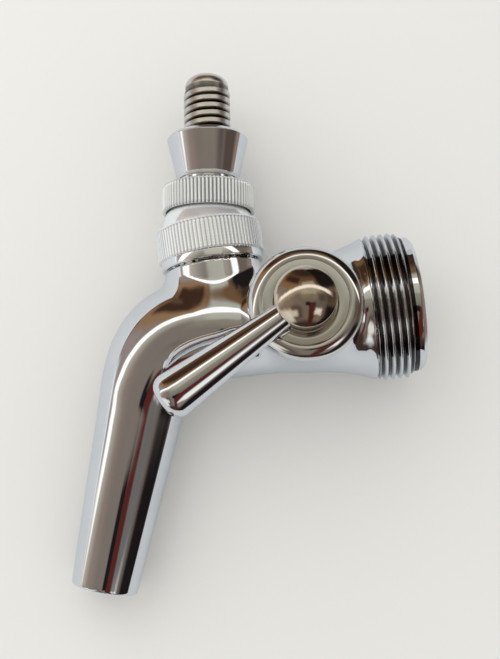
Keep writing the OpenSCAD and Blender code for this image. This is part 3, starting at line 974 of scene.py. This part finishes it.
def mix(base, colour, mask):
    """Lays a colour over another, as far as the mask says."""
    m = add(sky, "Mix", {"Factor": mask, "A": base, "B": (*colour, 1)}, data_type="RGBA")
    return m.outputs["Result"]


def byte_colour(r, g, b, gain=1.0):
    """A screen colour as linear light."""
    screen = (r / 255, g / 255, b / 255)
    return tuple(gain * (c / 12.92 if c <= 0.04045 else ((c + 0.055) / 1.055) ** 2.4) for c in screen)


to_camera = add(
    sky, "VectorTransform", {"Vector": add(sky, "TexCoord").outputs["Generated"]},
    vector_type="VECTOR", convert_from="WORLD", convert_to="CAMERA",
).outputs["Vector"]
xyz = add(sky, "SeparateXYZ", {"Vector": to_camera})
# Directions as the camera sees them in a mirror facing it: side to the right, rise upwards,
# both in degrees, with the camera itself at zero and the horizon of the lens at 90.
DEGREES = 180 / math.pi
toward = maths(sky, "MULTIPLY", xyz.outputs["Z"], -1.0)
side = maths(sky, "MULTIPLY", maths(sky, "ARCTAN2", xyz.outputs["X"], toward), DEGREES)
rise = maths(sky, "MULTIPLY", maths(sky, "ARCSINE", xyz.outputs["Y"]), DEGREES)

# Nothing in a real room has ruled edges: directions are shaken a little before they are looked up.
WANDER = 9.0


def shake(value, seed):
    """A direction with a smooth wander of a few degrees."""
    wander = add(
        sky, "TexNoise", {"Vector": to_camera, "W": seed, "Scale": 3.2, "Detail": 2.0}, noise_dimensions="4D"
    )
    swing = maths(sky, "MULTIPLY", maths(sky, "SUBTRACT", wander.outputs["Fac"], 0.5), WANDER)
    return maths(sky, "ADD", value, swing)


loose_side, loose_rise = shake(side, 0.0), shake(rise, 7.0)

# What stands round the camera, as (side range, rise range, softness, colour). Later ones lie on top.
ROOM = [
    ((-200, -60), (-14, 34), 14, byte_colour(150, 138, 132)),
    ((-38, 30), (-60, 30), 12, byte_colour(126, 117, 109)),
    ((-200, 200), (41, 120), 6, byte_colour(112, 84, 60)),
    ((-112, -18), (30, 48), 7, byte_colour(148, 116, 86)),
    ((-84, -28), (44, 60), 5, byte_colour(64, 44, 33)),
    ((-200, 200), (64, 120), 7, byte_colour(60, 46, 38)),
    ((-120, -92), (14, 36), 3, byte_colour(14, 14, 26)),
    ((-18, 28), (4, 22), 7, byte_colour(142, 136, 120)),
    ((-16, 26), (16, 50), 4, byte_colour(178, 176, 163)),
    ((36, 115), (26, 100), 8, byte_colour(30, 26, 25)),
    ((-200, 200), (-120, -56), 8, byte_colour(62, 50, 46)),
    ((-44, -16), (-50, -14), 8, byte_colour(92, 80, 74)),
    ((17, 50), (-40, -6), 6, byte_colour(112, 109, 107)),
    ((30, 54), (-6, 20), 10, byte_colour(88, 80, 75)),
    ((54, 92), (-8, 22), 8, byte_colour(86, 74, 66)),
    ((52, 100), (-90, -9), 10, byte_colour(28, 23, 25)),
    ((5, 24), (-80, -5), 2.5, byte_colour(86, 40, 37)),
    ((-4, 9), (-15, -3.5), 2, byte_colour(26, 25, 27)),
    ((-102, -47), (-56, -23), 6, byte_colour(236, 238, 238)),
    ((-52, -28), (-42, -26), 5, byte_colour(230, 226, 214)),
    ((23, 44), (-38, -21), 4, byte_colour(250, 250, 248)),
    ((-116, -84), (-30, 12), 5, byte_colour(236, 242, 255, 1.25)),
]
scene_colour = (*byte_colour(142, 127, 118), 1)
for side_range, rise_range, soft, colour in ROOM:
    mask = maths(sky, "MULTIPLY", window(loose_side, *side_range, soft), window(loose_rise, *rise_range, soft))
    scene_colour = mix(scene_colour, colour, mask)
# The long lamp: an arched strip across the view above the camera, and the pale ceiling glow under it.
ARCH_TOP, ARCH_PACE, ARCH_SHIFT, ARCH_HALF = 38.0, 1.06, 6.0, 4.5
round_arch = maths(sky, "MULTIPLY", maths(sky, "SUBTRACT", side, ARCH_SHIFT), math.radians(ARCH_PACE))
arch_rise = maths(sky, "MULTIPLY", maths(sky, "COSINE", round_arch), ARCH_TOP)
off_arch = maths(sky, "SUBTRACT", rise, arch_rise)
glow = maths(sky, "MULTIPLY", window(off_arch, -12, 2, 9), window(side, -112, 40, 12))
scene_colour = mix(scene_colour, byte_colour(196, 192, 178), maths(sky, "MULTIPLY", glow, 0.75))
strip = maths(sky, "MULTIPLY", window(off_arch, -ARCH_HALF, ARCH_HALF, 1.8), window(side, -79, 68, 8))
scene_colour = mix(scene_colour, (1.35, 1.33, 1.28), strip)
# Behind the tap, as seen from the camera, the room is an even pale grey.
behind = window(maths(sky, "ABSOLUTE", side), 114, 400, 6)
scene_colour = mix(scene_colour, byte_colour(190, 194, 192), behind)

# The chrome sees the room, the rest is lit evenly, and the camera sees a plain backdrop.
room = add(sky, "Background", {"Color": scene_colour})
soft_light = add(sky, "Background", {"Color": (1.0, 1.0, 0.98, 1), "Strength": 0.855})
backdrop = add(sky, "Background", {"Color": (0.77, 0.77, 0.745, 1)})
path = add(sky, "LightPath")
lit = add(sky, "MixShader", {
    "Fac": path.outputs["Is Glossy Ray"], 1: soft_light.outputs["Background"], 2: room.outputs["Background"],
})
seen = add(sky, "MixShader", {
    "Fac": path.outputs["Is Camera Ray"], 1: lit.outputs["Shader"], 2: backdrop.outputs["Background"],
})
add(sky, "OutputWorld", {"Surface": seen.outputs["Shader"]})

# ---------------------------------------------------------------- key light
# One soft lamp, held by the camera so that every view is lit the same way.
LAMP_PLACE, LAMP_SIZE, LAMP_WATTS = (-0.30, 0.34, 0.10), 0.6, 1.0
data = bpy.data.lights.new("key_light", "AREA")
data.size = LAMP_SIZE
data.energy = LAMP_WATTS
data.color = (1.0, 0.99, 0.975)
data.specular_factor = 0.0
light = bpy.data.objects.new("key_light", data)
bpy.context.scene.collection.objects.link(light)
place = camera.matrix_world @ Vector(LAMP_PLACE)
light.parent = camera
light.matrix_world = Matrix.Translation(place) @ (AIM - place).to_track_quat("-Z", "Y").to_matrix().to_4x4()
light.visible_glossy = False

bpy.context.scene.view_settings.view_transform = "Standard"
